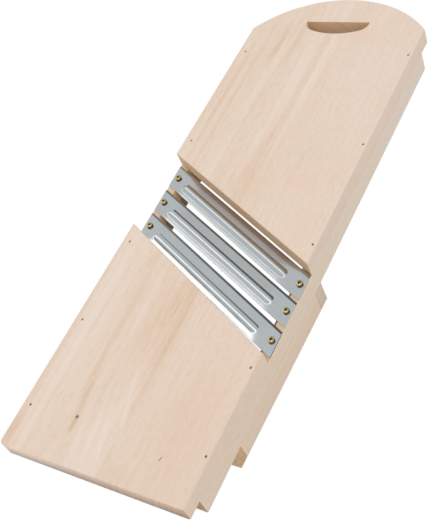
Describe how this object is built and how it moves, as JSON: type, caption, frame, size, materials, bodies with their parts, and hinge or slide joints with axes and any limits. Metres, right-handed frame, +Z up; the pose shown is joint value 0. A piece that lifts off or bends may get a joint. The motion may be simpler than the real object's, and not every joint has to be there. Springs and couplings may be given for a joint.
{
  "type": "cabbage shredder board",
  "caption": "Long wooden shredder board with a rounded head, a grip slot and slanted steel blades screwed across a bay between its boards, on side rails and a low foot frame.",
  "frame": {"origin": "middle of the length and width, at the level of the foot frame's lowest edge", "axes": "+Y along the board towards the rounded head, +Z up through the boards' planed faces, +X to the right"},
  "size_m": [0.18, 0.543, 0.0595],
  "materials": {
    "board_wood": "planed pale beech, unvarnished",
    "rail_wood": "planed pale beech, unvarnished",
    "foot_wood": "sawn pale beech, unvarnished",
    "cross_wood": "sawn pale beech with end grain to the sides",
    "blade_steel": "bright rolled sheet with a ground cutting edge",
    "screw_zinc": "yellow passivated zinc",
    "nail_steel": "dark steel wire"
  },
  "bodies": {
    "root": {"upper_board": "board_wood", "lower_board": "board_wood", "left_rail": "rail_wood", "right_rail": "rail_wood", "left_foot_strip": "foot_wood", "right_foot_strip": "foot_wood", "foot_crossbar": "cross_wood", "left_end_block": "cross_wood", "right_end_block": "cross_wood", "upper_blade": "blade_steel", "middle_blade": "blade_steel", "lower_blade": "blade_steel", "upper_blade_left_screw": "screw_zinc", "upper_blade_right_screw": "screw_zinc", "middle_blade_left_screw": "screw_zinc", "middle_blade_right_screw": "screw_zinc", "lower_blade_left_screw": "screw_zinc", "lower_blade_right_screw": "screw_zinc", "upper_board_left_nails": "nail_steel", "upper_board_right_nails": "nail_steel", "lower_board_left_nails": "nail_steel", "lower_board_right_nails": "nail_steel", "left_strip_nails": "nail_steel", "right_strip_nails": "nail_steel", "crossbar_nails": "nail_steel", "end_block_nails": "nail_steel"}
  },
  "joints": []
}
